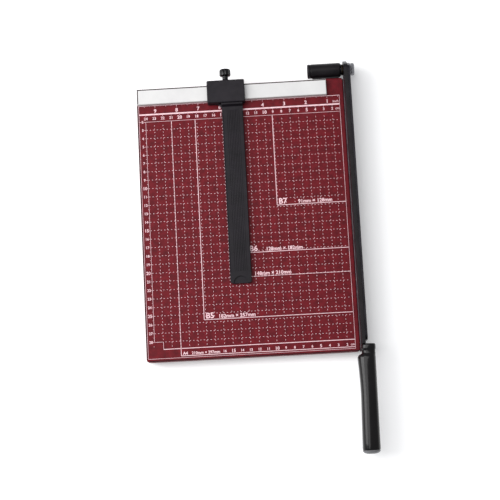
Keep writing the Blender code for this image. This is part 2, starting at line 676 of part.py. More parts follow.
def moving_blade(finish, screw_finish, parent):
    """Upper blade: a plate with a bowed lower edge, screwed to the bar's right face."""
    root = MOVING_BLADE_ROOT
    top = BAR_TOP - MOVING_BLADE_TOP_INSET
    front = -ARM_REACH + MOVING_BLADE_FRONT_GAP
    corner = MOVING_BLADE_CORNER
    steps = 3 * ARC_STEPS
    edge = []
    for i in range(steps + 1):
        t = i / steps
        drop = root + (MOVING_BLADE_TIP_DROP - root) * (1 - t) + MOVING_BLADE_BOW * 4 * t * (1 - t)
        edge.append((front * (1 - t), -drop))
    outline = [
        *edge, *arc((0, 0), root, -90, REAR_SLOPE, 7)[1:],
        *arc((-UPPER_BACK, top - corner), corner, REAR_SLOPE, 90, 5),
        *arc((front + corner, top - corner), corner, 90, 180, 4),
    ]
    shape = prism(outline, "X", EDGE_GAP, BLADE_RIGHT)

    def on_edge(line):
        return all(abs(v.co.x - BLADE_RIGHT) < MM / 100 and v.co.z < -MOVING_BLADE_TIP_DROP / 2
                   and front - MM < v.co.y < MM / 100 for v in line.verts)

    bevel(shape, on_edge, MOVING_BLADE_GRIND, 1)
    blade = add("moving_blade", shape, finish, parent)
    face = BLADE_RIGHT - TOUCH
    tip = BAR_LEFT + TOUCH
    cut(blade, "moving_blade_holes",
        rod("X", (0, 0, 0), -MM, BLADE_RIGHT + MM, BOLT_RADIUS + BORE_PLAY, SIDES),
        *[countersunk("X", centre, -MM, face, ARM_SCREW_RADIUS, ARM_SCREW_HEAD_RADIUS, 0,
                      BORE_PLAY, 2 * TOUCH) for centre in arm_screw_places()])
    for number, centre in enumerate(arm_screw_places(), 1):
        screw = countersunk("X", centre, tip, face, ARM_SCREW_RADIUS, ARM_SCREW_HEAD_RADIUS, 0)
        add(f"moving_blade_screw_{number}", screw, screw_finish, parent)


# Grip ---------------------------------------------------------------------------------------

def pin_centre():
    return (0, -ARM_REACH - TANG_LENGTH + PIN_INSET, GRIP_CENTRE)


def grip_shift(along):
    """Sideways place of the grip's centre at a distance from its root."""
    share = along / GRIP_LENGTH
    return GRIP_ROOT_SHIFT + (GRIP_END_SHIFT - GRIP_ROOT_SHIFT) * share


def grip_ring(along, width, height, lift=0.0, aside=0.0, flare=0.0, power=GRIP_SQUARENESS,
              points=SIDES):
    """A rounded cross-section of the grip at a distance from its root."""
    ring = []
    for i in range(points):
        turn = 2 * math.pi * i / points
        across, up = math.cos(turn), math.sin(turn)
        x = math.copysign(abs(across) ** (2 / power), across) * width / 2
        z = math.copysign(abs(up) ** (2 / power), up) * height / 2
        x += aside - flare * max(0.0, -across)
        ring.append((grip_shift(along) + x, GRIP_START - along, GRIP_CENTRE + lift + z))
    return ring


def handle_grip(finish, pin_finish, parent):
    """Moulded grip: a collar, a groove and a body that widens to the front."""
    round_off = 1.2 * MM
    groove = COLLAR_LENGTH + 1.5 * MM
    body = groove + GROOVE_LENGTH
    full = body + 5 * MM
    collar = (COLLAR_WIDTH, COLLAR_HEIGHT, COLLAR_LIFT, COLLAR_SHIFT)
    sections = [
        (0, COLLAR_WIDTH - 2 * round_off, COLLAR_HEIGHT - 2 * round_off, COLLAR_LIFT,
         COLLAR_SHIFT),
        (round_off, *collar),
        (COLLAR_LENGTH, *collar),
        (groove, GROOVE_WIDTH, GROOVE_HEIGHT, COLLAR_LIFT, COLLAR_SHIFT),
        (body - MM, GROOVE_WIDTH, GROOVE_HEIGHT, COLLAR_LIFT, COLLAR_SHIFT),
        (body + MM, GRIP_ROOT_WIDTH - round_off, GRIP_ROOT_HEIGHT - 3 * round_off, 0, 0,
         GRIP_FLARE / 2),
    ]
    for along in spread(full, GRIP_LENGTH, 7):
        share = (along - full) / (GRIP_LENGTH - full)
        width = GRIP_ROOT_WIDTH + (GRIP_END_WIDTH - GRIP_ROOT_WIDTH) * share
        height = GRIP_ROOT_HEIGHT + (GRIP_END_HEIGHT - GRIP_ROOT_HEIGHT) * share
        left = 1 - (along - full) / (GRIP_FLARE_END - full)
        sections.append((along, width, height, 0, 0, GRIP_FLARE * max(0.0, left) ** 1.5))
    grip = add("handle_grip", loft([grip_ring(*section) for section in sections]), finish,
               parent)
    tang = block(-EDGE_GAP - TANG_THICKNESS - TOUCH, -EDGE_GAP + TOUCH,
                 -ARM_REACH - TANG_LENGTH - TOUCH, GRIP_START + MM,
                 BAR_RISE + TANG_INSET - TOUCH, BAR_TOP - TANG_INSET + TOUCH)
    half = (GRIP_ROOT_WIDTH + GRIP_END_WIDTH) / 4
    middle = grip_shift(TANG_LENGTH - PIN_INSET)
    pin_ends = (middle - half + 1.5 * MM, middle + half - 1.5 * MM)
    pin_hole = rod("X", pin_centre(), middle - 2 * half, middle + 2 * half,
                   PIN_RADIUS + BORE_PLAY)
    socket = rod("Y", (grip_shift(GRIP_LENGTH), 0, GRIP_CENTRE), GRIP_END - MM,
                 GRIP_END - TOUCH + END_CAP_SPIGOT + TOUCH, END_CAP_SPIGOT_RADIUS + BORE_PLAY)
    cut(grip, "grip_tang_slot", tang)
    cut(grip, "grip_pin_hole", pin_hole)
    cut(grip, "grip_cap_socket", socket)
    add("handle_pin", rod("X", pin_centre(), *pin_ends, PIN_RADIUS), pin_finish, parent)


def handle_end_cap(finish, parent):
    """Domed plug in the front end of the grip."""
    start = GRIP_LENGTH + TOUCH
    spigot = 2 * END_CAP_SPIGOT_RADIUS
    rings = [grip_ring(start - END_CAP_SPIGOT, spigot, spigot, power=2),
             grip_ring(start, spigot, spigot, power=2)]
    for ring in rings:
        for i, (_, y, z) in enumerate(ring):
            turn = 2 * math.pi * i / len(ring)
            ring[i] = (grip_shift(GRIP_LENGTH) + END_CAP_SPIGOT_RADIUS * math.cos(turn), y, z)
    for step in range(6):
        turn = math.radians(75 * step / 5)
        along = start + END_CAP_LENGTH * math.sin(turn) / math.sin(math.radians(75))
        narrow = END_CAP_LENGTH * 1.4 * (1 - math.cos(turn))
        rings.append(grip_ring(along, GRIP_END_WIDTH - narrow, GRIP_END_HEIGHT - narrow))
    add("handle_end_cap", loft(rings), finish, parent)


# Side gauge ---------------------------------------------------------------------------------

def gauge_screw_places():
    middle = TONGUE_LENGTH / 3
    return [(GAUGE_ARM_SHIFT + side * GAUGE_SCREW_PITCH / 2, middle, 0) for side in (-1, 1)]


def gauge_head(finish, screw_finish, parent):
    """Head that hooks over the rule, with a boss for the clamp screw."""
    half = HEAD_WIDTH / 2
    shape = prism(rounded_rectangle(-half, half, -HEAD_FRONT, HEAD_REAR, HEAD_CORNER), "Z",
                  HEAD_FLOAT, HEAD_TOP)
    bevel(shape, at_height(HEAD_TOP), HEAD_ROUND, 2)
    head = add("gauge_head", shape, finish, parent)
    weld(head, "head_boss", rod("Y", (0, 0, CLAMP_HEIGHT), HEAD_REAR - 2 * TOUCH,
                                HEAD_REAR + HEAD_BOSS_LENGTH, HEAD_BOSS_RADIUS, SIDES))
    channel = block(-half - MM, half + MM, -HEAD_PLAY, RULE_WIDTH + HEAD_PLAY,
                    HEAD_FLOAT - MM, HEAD_CEILING)
    arm_half = GAUGE_ARM_WIDTH / 2 + TOUCH
    slot = block(GAUGE_ARM_SHIFT - arm_half, GAUGE_ARM_SHIFT + arm_half, -HEAD_FRONT - MM,
                 TONGUE_LENGTH - HEAD_FRONT + TOUCH, HEAD_CEILING - MM / 10,
                 TONGUE_TOP + TOUCH)
    stud_hole = rod("Y", (0, 0, CLAMP_HEIGHT), RULE_WIDTH, HEAD_REAR + HEAD_BOSS_LENGTH + MM,
                    STUD_RADIUS + BORE_PLAY)
    tip = TONGUE_BOTTOM + TOUCH + GAUGE_SCREW_LENGTH
    pilots = [rod("Z", centre, TONGUE_TOP, tip + TOUCH, GAUGE_SCREW_RADIUS + BORE_PLAY)
              for centre in gauge_screw_places()]
    cut(head, "head_channel", channel)
    cut(head, "head_slot", slot)
    cut(head, "head_holes", stud_hole, *pilots)
    for number, centre in enumerate(gauge_screw_places(), 1):
        screw = countersunk("Z", centre, tip, TONGUE_BOTTOM + TOUCH, GAUGE_SCREW_RADIUS,
                            GAUGE_SCREW_HEAD_RADIUS, 0)
        add(f"gauge_screw_{number}", screw, screw_finish, parent)


def gauge_arm(finish, parent):
    """Long flat arm whose tongue steps up over the rule into the head."""
    half = GAUGE_ARM_WIDTH / 2
    left, right = GAUGE_ARM_SHIFT - half, GAUGE_ARM_SHIFT + half
    root = -HEAD_FRONT - TOUCH
    end = root - GAUGE_ARM_LENGTH
    corner = GAUGE_ARM_CORNER
    gusset = [
        (left - GAUGE_GUSSET_WIDTH * (1 - math.sin(t)), root - GAUGE_GUSSET_LENGTH * (1 - math.cos(t)))
        for t in (math.radians(90 * i / ARC_STEPS) for i in range(ARC_STEPS + 1))
    ]
    outline = [*gusset, *arc((left + corner, end + corner), corner, 180, 270, 4),
               *arc((right - corner, end + corner), corner, 270, 360, 4), (right, root)]
    low, high = HEAD_FLOAT, HEAD_FLOAT + GAUGE_ARM_THICKNESS
    arm = add("gauge_arm", prism(outline, "Z", low, high), finish, parent)
    tongue_end = root + TONGUE_LENGTH
    step = [(root - GAUGE_RISER, low + MM), (root, low + MM), (root, TONGUE_BOTTOM),
            (tongue_end, TONGUE_BOTTOM), (tongue_end, TONGUE_TOP),
            (root - GAUGE_RISER / 2, TONGUE_TOP), (root - GAUGE_RISER, high)]
    weld(arm, "gauge_arm_step", prism(step, "X", left, right))
    recess = rod("Z", (GAUGE_ARM_SHIFT, end, 0), high - THUMB_RECESS_DEPTH, high + MM,
                 THUMB_RECESS_RADIUS, SIDES)
    cut(arm, "thumb_recess", recess)
    cut(arm, "tongue_holes",
        *[countersunk("Z", centre, TONGUE_TOP + MM, TONGUE_BOTTOM + TOUCH, GAUGE_SCREW_RADIUS,
                      GAUGE_SCREW_HEAD_RADIUS, 0, BORE_PLAY, 2 * TOUCH)
          for centre in gauge_screw_places()])


def clamp_stud(finish, parent):
    """Threaded stud that bears on the rule's rear face."""
    end = knob_start() + KNOB_SOCKET
    chamfer = 0.5 * MM
    profile = [(0, 0), (0, STUD_RADIUS - chamfer), (chamfer, STUD_RADIUS), (end, STUD_RADIUS),
               (end, 0)]
    add("clamp_stud", turned(profile, "Y", (0, 0, 0)), finish, parent)


def knob_start():
    """Front face of the knob's neck, measured from the stud's tip."""
    return HEAD_REAR + HEAD_BOSS_LENGTH + 2 * TOUCH - (RULE_WIDTH + TOUCH)


def clamp_knob(finish, parent):
    """Fluted knob on the rear end of the stud."""
    neck_end = knob_start() + KNOB_NECK
    far = neck_end + KNOB_LENGTH
    sides = 4 * KNOB_FLUTES

    def ring(along, radius, depth):
        points = []
        for i in range(sides):
            turn = 2 * math.pi * i / sides
            r = radius - depth * (1 - math.cos(turn * KNOB_FLUTES)) / 2
            points.append((r * math.cos(turn), along, r * math.sin(turn)))
        return points

    rings = [
        ring(knob_start(), KNOB_NECK_RADIUS, 0), ring(neck_end, KNOB_NECK_RADIUS, 0),
        ring(neck_end, KNOB_RADIUS - KNOB_ROUND, 0),
        ring(neck_end + KNOB_ROUND, KNOB_RADIUS, KNOB_FLUTE_DEPTH),
        ring(far - KNOB_ROUND, KNOB_RADIUS, KNOB_FLUTE_DEPTH),
        ring(far, KNOB_RADIUS - KNOB_ROUND, 0),
    ]
    knob = add("clamp_knob", loft(rings), finish, parent)
    cut(knob, "knob_socket", rod("Y", (0, 0, 0), knob_start() - MM,
                                 knob_start() + KNOB_SOCKET + TOUCH, STUD_RADIUS + BORE_PLAY))


def build():
    for item in list(bpy.data.objects):
        bpy.data.objects.remove(item, do_unlink=True)

    red = material("red_enamel", (0.19, 0.012, 0.02), 0.45, 0.0)
    white = material("white_enamel", (0.8, 0.81, 0.84), 0.4, 0.0)
    black_paint = material("black_paint", (0.02, 0.02, 0.022), 0.35, 0.0)
    black_plastic = material("black_plastic", (0.018, 0.018, 0.02), 0.5, 0.0)
    grey_plastic = material("grey_plastic", (0.35, 0.35, 0.36), 0.45, 0.0)
    rubber = material("rubber", (0.02, 0.02, 0.02), 0.8, 0.0)
    steel = material("ground_steel", (0.55, 0.56, 0.58), 0.3, 1.0)
    zinc = material("zinc_plate", (0.72, 0.72, 0.72), 0.3, 1.0)
    brass = material("brass", (0.7, 0.5, 0.2), 0.35, 1.0)

    collar_right = GRIP_ROOT_SHIFT + COLLAR_SHIFT + COLLAR_WIDTH / 2
    middle_x = (BED_LEFT + max(BOLT_END, collar_right)) / 2
    rear = PIVOT_Y + BOSS_RADIUS
    front = PIVOT_Y + GRIP_END - TOUCH - END_CAP_LENGTH
    ground = -RIM_HEIGHT - FOOT_HEIGHT
    base = empty("base", (-middle_x, -(front + rear) / 2, -ground))
    arm_pivot = empty("arm_pivot", (0, PIVOT_Y, PIVOT_Z), base, ARM_TILT)
    gauge_zero = empty("gauge_zero", (GAUGE_PLACE, 0, 0), base)
    clamp_zero = empty("clamp_zero", (0, RULE_WIDTH + TOUCH, CLAMP_HEIGHT), gauge_zero)

    base_tray(red, base)
    stiffeners(zinc, base)
    feet(rubber, base)
    paper_stop(white, zinc, base)
    fixed_blade(steel, zinc, base)
    hinge_bracket(black_paint, zinc, base)
    hinge_housing(black_paint, black_plastic, base)

    pivot_set(zinc, brass, arm_pivot)
    arm_bar(black_paint, arm_pivot)
    moving_blade(black_paint, zinc, arm_pivot)
    handle_grip(black_plastic, zinc, arm_pivot)
    handle_end_cap(grey_plastic, arm_pivot)

    gauge_head(black_plastic, zinc, gauge_zero)
    gauge_arm(black_plastic, gauge_zero)
    clamp_stud(zinc, clamp_zero)
    clamp_knob(black_plastic, clamp_zero)


build()
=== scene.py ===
"""Guillotine paper cutter: finishes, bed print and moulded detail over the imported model."""
import json
import math

import bmesh
import bpy
from mathutils import Matrix, Vector


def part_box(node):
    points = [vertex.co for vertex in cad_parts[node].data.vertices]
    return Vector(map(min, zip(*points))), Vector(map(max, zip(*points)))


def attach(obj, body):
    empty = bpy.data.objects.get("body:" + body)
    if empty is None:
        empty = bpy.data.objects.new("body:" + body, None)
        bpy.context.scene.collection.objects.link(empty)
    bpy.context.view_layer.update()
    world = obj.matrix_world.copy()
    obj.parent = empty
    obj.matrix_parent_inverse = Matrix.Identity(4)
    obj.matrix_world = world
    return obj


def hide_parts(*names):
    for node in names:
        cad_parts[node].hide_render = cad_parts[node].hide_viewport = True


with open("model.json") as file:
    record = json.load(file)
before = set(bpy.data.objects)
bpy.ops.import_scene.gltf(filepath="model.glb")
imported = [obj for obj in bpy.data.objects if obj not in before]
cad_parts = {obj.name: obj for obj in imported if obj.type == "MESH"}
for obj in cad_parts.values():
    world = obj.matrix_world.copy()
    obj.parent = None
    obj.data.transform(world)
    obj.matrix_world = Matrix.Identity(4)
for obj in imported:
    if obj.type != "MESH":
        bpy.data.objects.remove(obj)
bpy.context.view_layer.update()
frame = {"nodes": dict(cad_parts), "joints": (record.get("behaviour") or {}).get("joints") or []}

MM = 0.001
JOINTS = {joint["name"]: joint for joint in frame["joints"]}
PIVOT = Vector(JOINTS["arm_hinge"]["pos_m"])
KNOB_AXIS = Vector(JOINTS["knob_turn"]["pos_m"])
BLADE_PLAY = 0.15 * MM                              # from the fixed blade to the cutting plane
CUT_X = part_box("fixed_blade")[1].x + BLADE_PLAY
STOP_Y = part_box("paper_stop_rule")[0].y             # face that the sheet is pushed against
BED_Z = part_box("base_tray")[1].z


# Mesh helpers -------------------------------------------------------------------------------

def smooth_by_angle(bm, limit=32):
    """Round faces shade smoothly and edges sharper than the limit stay crisp."""
    for face in bm.faces:
        face.smooth = True
    for edge in bm.edges:
        edge.smooth = len(edge.link_faces) == 2 and edge.calc_face_angle(0) < math.radians(limit)


def piece(name, bm, material, body, nodes=(), smooth=True, outward=True):
    """Finish a bmesh as a named piece that rides on a body and stands for CAD nodes."""
    if outward:
        bmesh.ops.recalc_face_normals(bm, faces=bm.faces)
    if smooth:
        smooth_by_angle(bm)
    mesh = bpy.data.meshes.new(name)
    bm.to_mesh(mesh)
    bm.free()
    mesh.materials.append(material)
    made = bpy.data.objects.new(name, mesh)
    bpy.context.scene.collection.objects.link(made)
    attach(made, body)
    if nodes:
        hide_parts(*nodes)
    return made


def slab(bm, left, right, front, rear, low, high):
    """A closed box between six planes."""
    size = Vector((right - left, rear - front, high - low))
    middle = Vector((left + right, front + rear, low + high)) / 2
    place = Matrix.Translation(middle) @ Matrix.Diagonal((*size, 1))
    return bmesh.ops.create_cube(bm, size=1, matrix=place)["verts"]


def lathe(bm, profile, axis, centre, steps=64):
    """Spin a profile of (along, radius) points round an axis through the centre."""
    along_axis = Vector((axis == "X", axis == "Y", axis == "Z"))
    out = Vector((0, 0, 1)) if axis != "Z" else Vector((1, 0, 0))
    verts = [bm.verts.new(centre + along_axis * a + out * r) for a, r in profile]
    edges = [bm.edges.new(pair) for pair in zip(verts, verts[1:])]
    bmesh.ops.spin(bm, geom=verts + edges, cent=centre, axis=along_axis, angle=2 * math.pi,
                   steps=steps, use_merge=True)
    bmesh.ops.remove_doubles(bm, verts=bm.verts, dist=0.001 * MM)


def loop_edges(bm, verts):
    """Edges that join the verts in order and close the loop."""
    return [bm.edges.get(pair) for pair in zip(verts, verts[1:] + verts[:1])]


def ringed(bm, rings, ends=True):
    """Extrude a circle from ring to ring; each ring is a list of points."""
    loop = bmesh.ops.create_circle(bm, segments=len(rings[0]), radius=1, cap_ends=False)["verts"]
    for vert, point in zip(loop, rings[0]):
        vert.co = point
    edges = loop_edges(bm, loop)
    first_edges = edges
    for ring in rings[1:]:
        made = bmesh.ops.extrude_edge_only(bm, edges=edges)["geom"]
        new_edges = [item for item in made if isinstance(item, bmesh.types.BMEdge)]
        partner = {}
        for edge in new_edges:
            for face in edge.link_faces:
                for side in face.edges:
                    for old in loop:
                        if old in side.verts and side not in edges and side not in new_edges:
                            partner[old] = side.other_vert(old)
        loop = [partner[old] for old in loop]
        for vert, point in zip(loop, ring):
            vert.co = point
        edges = loop_edges(bm, loop)
    if ends:
        bmesh.ops.edgeloop_fill(bm, edges=first_edges)
        bmesh.ops.edgeloop_fill(bm, edges=edges)
    else:
        bmesh.ops.bridge_loops(bm, edges=first_edges + edges)


# Shader groups ------------------------------------------------------------------------------

def node_group(name, inputs, outputs):
    """An empty shader group with its sockets, and its two end nodes."""
    tree = bpy.data.node_groups.new(name, "ShaderNodeTree")
    for label, kind, value in inputs:
        socket = tree.interface.new_socket(label, in_out="INPUT", socket_type=kind)
        socket.default_value = value
    for label, kind in outputs:
        tree.interface.new_socket(label, in_out="OUTPUT", socket_type=kind)
    return tree, tree.nodes.new("NodeGroupInput"), tree.nodes.new("NodeGroupOutput")


def math_node(tree, operation, a, b=None, clamp=False):
    made = tree.nodes.new("ShaderNodeMath")
    made.operation = operation
    made.use_clamp = clamp
    for socket, value in zip(made.inputs, (a, b)):
        if isinstance(value, (int, float)):
            socket.default_value = value
        elif value is not None:
            tree.links.new(value, socket)
    return made.outputs[0]


def noise_node(tree, place, scale, detail=4.0, roughness=0.55):
    made = tree.nodes.new("ShaderNodeTexNoise")
    made.inputs["Detail"].default_value = detail
    made.inputs["Roughness"].default_value = roughness
    tree.links.new(place, made.inputs["Vector"])
    if isinstance(scale, (int, float)):
        made.inputs["Scale"].default_value = scale
    else:
        tree.links.new(scale, made.inputs["Scale"])
    return made.outputs["Fac"]


def map_range(tree, value, low, high, to_low, to_high):
    made = tree.nodes.new("ShaderNodeMapRange")
    tree.links.new(value, made.inputs["Value"])
    for label, number in (("From Min", low), ("From Max", high), ("To Min", to_low),
                          ("To Max", to_high)):
        if isinstance(number, (int, float)):
            made.inputs[label].default_value = number
        else:
            tree.links.new(number, made.inputs[label])
    return made.outputs["Result"]


def mix_colour(tree, factor, a, b):
    made = tree.nodes.new("ShaderNodeMix")
    made.data_type = "RGBA"
    tree.links.new(factor, made.inputs[0])
    for socket, value in ((made.inputs[6], a), (made.inputs[7], b)):
        if isinstance(value, tuple):
            socket.default_value = value
        else:
            tree.links.new(value, socket)
    return made.outputs[2]


def worn_edges_group():
    """Mask of edges, broken up by noise, and the normal of the eased edge: rubbed wear on most
    finishes, painted shade along the red enamel's bends.
    """
    tree, take, give = node_group(
        "edge_wear_and_shade",
        [("Radius", "NodeSocketFloat", 0.0006), ("Break Scale", "NodeSocketFloat", 400.0),
         ("Amount", "NodeSocketFloat", 0.6), ("Break Low", "NodeSocketFloat", 0.42),
         ("Break High", "NodeSocketFloat", 0.62)],
        [("Mask", "NodeSocketFloat"), ("Normal", "NodeSocketVector")])
    eased = tree.nodes.new("ShaderNodeBevel")
    eased.samples = 4
    tree.links.new(take.outputs["Radius"], eased.inputs["Radius"])
    surface = tree.nodes.new("ShaderNodeNewGeometry")
    dot = tree.nodes.new("ShaderNodeVectorMath")
    dot.operation = "DOT_PRODUCT"
    tree.links.new(eased.outputs["Normal"], dot.inputs[0])
    tree.links.new(surface.outputs["Normal"], dot.inputs[1])
    edge = map_range(tree, dot.outputs["Value"], 0.99, 0.8, 0.0, 1.0)
    place = tree.nodes.new("ShaderNodeTexCoord").outputs["Object"]
    broken = map_range(tree, noise_node(tree, place, take.outputs["Break Scale"]),
                       take.outputs["Break Low"], take.outputs["Break High"], 0.0, 1.0)
    wear_and_shade = math_node(tree, "MULTIPLY", edge, broken)
    tree.links.new(math_node(tree, "MULTIPLY", wear_and_shade, take.outputs["Amount"], clamp=True),
                   give.inputs["Mask"])
    tree.links.new(eased.outputs["Normal"], give.inputs["Normal"])
    return tree


def mottled_group():
    """Slow drift of colour over the surface with a finer speckle in it."""
    tree, take, give = node_group(
        "mottled",
        [("Light", "NodeSocketColor", (1, 1, 1, 1)), ("Dark", "NodeSocketColor", (0, 0, 0, 1)),
         ("Scale", "NodeSocketFloat", 60.0), ("Speckle", "NodeSocketFloat", 0.4)],
        [("Color", "NodeSocketColor")])
    place = tree.nodes.new("ShaderNodeTexCoord").outputs["Object"]
    slow = noise_node(tree, place, take.outputs["Scale"], 5.0, 0.6)
    fine = noise_node(tree, place, math_node(tree, "MULTIPLY", take.outputs["Scale"], 14.0), 3.0)
    speckle = math_node(tree, "MULTIPLY", math_node(tree, "SUBTRACT", fine, 0.5),
                        take.outputs["Speckle"])
    mask = math_node(tree, "ADD", map_range(tree, slow, 0.3, 0.7, 0.0, 1.0), speckle, clamp=True)
    tree.links.new(mix_colour(tree, mask, take.outputs["Dark"], take.outputs["Light"]),
                   give.inputs["Color"])
    return tree


def grain_group():
    """Surface texture: a height and a mask, stretched along any axis."""
    tree, take, give = node_group(
        "surface_grain",
        [("Scale", "NodeSocketFloat", 900.0), ("Stretch", "NodeSocketVector", (1, 1, 1)),
         ("Low", "NodeSocketFloat", 0.3), ("High", "NodeSocketFloat", 0.5)],
        [("Height", "NodeSocketFloat"), ("Roughness", "NodeSocketFloat")])
    coords = tree.nodes.new("ShaderNodeTexCoord").outputs["Object"]
    spread = tree.nodes.new("ShaderNodeVectorMath")
    spread.operation = "MULTIPLY"
    tree.links.new(coords, spread.inputs[0])
    tree.links.new(take.outputs["Stretch"], spread.inputs[1])
    place = spread.outputs["Vector"]
    fine = noise_node(tree, place, take.outputs["Scale"], 3.0)
    broad = noise_node(tree, place, math_node(tree, "MULTIPLY", take.outputs["Scale"], 0.08), 4.0)
    tree.links.new(fine, give.inputs["Height"])
    blend = math_node(tree, "MULTIPLY", math_node(tree, "ADD", fine, broad), 0.5)
    tree.links.new(map_range(tree, blend, 0.35, 0.65, take.outputs["Low"], take.outputs["High"]),
                   give.inputs["Roughness"])
    return tree


EDGE_WEAR_AND_SHADE = worn_edges_group()
MOTTLED = mottled_group()
GRAIN = grain_group()


def placed(tree, group, **values):
    """A group node in a material, with its own values."""
    made = tree.nodes.new("ShaderNodeGroup")
    made.node_tree = group
    for label, value in values.items():
        made.inputs[label.replace("_", " ")].default_value = value
    return made


def srgb(red, green, blue):
    """Linear colour of an 8-bit display colour."""
    def linear(level):
        level /= 255
        return level / 12.92 if level <= 0.04045 else ((level + 0.055) / 1.055) ** 2.4
    return (linear(red), linear(green), linear(blue), 1.0)


def finish(name, light, dark, wear_and_shade, rough, metallic=0.0, patches=60.0, speckle=0.4,
           grain=900.0, stretch=(1, 1, 1), bump=0.15, depth=0.02 * MM, edge=0.5 * MM,
           wear_and_shade_amount=0.5, breaks=(0.42, 0.62), specular=0.5):
    """Principled material: mottled colour, edges in their own colour (rubbed wear, and painted
    shade along the bends of the red enamel), grain in roughness and bump.
    """
    made = bpy.data.materials.new(name)
    made.use_nodes = True
    made.diffuse_color = light
    tree = made.node_tree
    shader = tree.nodes["Principled BSDF"]
    shader.inputs["Metallic"].default_value = metallic
    shader.inputs["Specular IOR Level"].default_value = specular
    colour = placed(tree, MOTTLED, Light=light, Dark=dark, Scale=patches, Speckle=speckle)
    edges = placed(tree, EDGE_WEAR_AND_SHADE, Radius=edge, Amount=wear_and_shade_amount, Break_Low=breaks[0],
                   Break_High=breaks[1])
    texture = placed(tree, GRAIN, Scale=grain, Stretch=stretch, Low=rough[0], High=rough[1])
    tree.links.new(mix_colour(tree, edges.outputs["Mask"], colour.outputs["Color"], wear_and_shade),
                   shader.inputs["Base Color"])
    tree.links.new(texture.outputs["Roughness"], shader.inputs["Roughness"])
    relief = tree.nodes.new("ShaderNodeBump")
    relief.inputs["Strength"].default_value = bump
    relief.inputs["Distance"].default_value = depth
    tree.links.new(texture.outputs["Height"], relief.inputs["Height"])
    tree.links.new(edges.outputs["Normal"], relief.inputs["Normal"])
    tree.links.new(relief.outputs["Normal"], shader.inputs["Normal"])
    return made


FINISHES = {
    # The red enamel's dark edge colour, spread wide and nearly unbroken, is painted shade along the
    # tray's bends.
    "red_enamel": finish("red_enamel", srgb(110, 20, 30), srgb(78, 14, 22), srgb(44, 12, 18),
                         (0.42, 0.58), patches=150.0, speckle=1.3, grain=2600.0, bump=0.25,
                         edge=1.2 * MM, wear_and_shade_amount=0.9, breaks=(0.1, 0.4), specular=0.12),
    "white_enamel": finish("white_enamel", srgb(214, 213, 212), srgb(203, 202, 202),
                           srgb(150, 148, 154), (0.4, 0.55), patches=30.0, speckle=0.2,
                           grain=1800.0, bump=0.1, wear_and_shade_amount=0.4, specular=0.3),
    "black_paint": finish("black_paint", srgb(28, 25, 28), srgb(13, 11, 13), srgb(74, 70, 72),
                          (0.3, 0.44), patches=50.0, speckle=0.5, grain=1600.0, bump=0.3,
                          wear_and_shade_amount=0.35, specular=0.16),
    "blade_steel": finish("blade_steel", srgb(52, 50, 54), srgb(30, 28, 32),
                          srgb(150, 150, 154), (0.3, 0.44), metallic=0.8, patches=40.0,
                          grain=700.0, stretch=(1, 0.06, 1), bump=0.2, wear_and_shade_amount=0.45,
                          specular=0.2),
    "ground_steel": finish("ground_steel", srgb(84, 76, 80), srgb(50, 44, 48),
                           srgb(180, 180, 184), (0.26, 0.4), metallic=0.9, patches=60.0,
                           grain=700.0, stretch=(1, 0.05, 1), bump=0.2, wear_and_shade_amount=0.45),
    "zinc_plate": finish("zinc_plate", srgb(186, 186, 190), srgb(110, 111, 116),
                         srgb(238, 238, 240), (0.16, 0.3), metallic=1.0, patches=120.0,
                         grain=1400.0, bump=0.15, wear_and_shade_amount=0.5),
    "black_plastic": finish("black_plastic", srgb(29, 25, 31), srgb(17, 14, 19),
                            srgb(58, 54, 60), (0.42, 0.58), patches=45.0, speckle=0.6,
                            grain=2200.0, bump=0.5, depth=0.03 * MM, wear_and_shade_amount=0.3, specular=0.18),
    "grip_plastic": finish("grip_plastic", srgb(14, 11, 13), srgb(6, 5, 6), srgb(40, 36, 42),
                           (0.12, 0.18), patches=45.0, speckle=0.4, grain=1500.0, bump=0.06,
                           wear_and_shade_amount=0.15, specular=0.26),
    "grey_plastic": finish("grey_plastic", srgb(122, 122, 124), srgb(84, 84, 87),
                           srgb(170, 170, 172), (0.3, 0.42), patches=70.0, speckle=0.5,
                           grain=1500.0, bump=0.2, wear_and_shade_amount=0.3, specular=0.4),
    "rubber": finish("rubber", srgb(34, 34, 35), srgb(20, 20, 21), srgb(60, 60, 60),
                     (0.7, 0.9), patches=80.0, grain=1500.0, bump=0.4, wear_and_shade_amount=0.3,
                     specular=0.2),
    "brass": finish("oiled_brass", srgb(52, 42, 30), srgb(30, 25, 20), srgb(120, 100, 66),
                    (0.35, 0.5), metallic=1.0, patches=90.0, grain=1200.0, bump=0.2),
}
# Colour of the painted shade lines along the rule's and the bed's rims.
PAINTED_SHADE_LINE = finish("painted_shade_line", srgb(46, 16, 22), srgb(26, 10, 14), srgb(70, 30, 36),
                   (0.4, 0.55), patches=60.0, grain=1500.0, bump=0.1, edge=0.05 * MM,
                   wear_and_shade_amount=0.2, specular=0.1)
BED_PRINT = finish("bed_print", srgb(246, 216, 221), srgb(222, 178, 186), srgb(210, 170, 176),
                   (0.5, 0.62), patches=200.0, speckle=0.8, grain=2600.0, bump=0.1,
                   edge=0.05 * MM, wear_and_shade_amount=0.1, specular=0.2)

for node in frame["nodes"].values():
    for index, used in enumerate(node.data.materials):
        node.material_slots[index].material = FINISHES[used.name.split(".")[0]]


# Bed print ----------------------------------------------------------------------------------

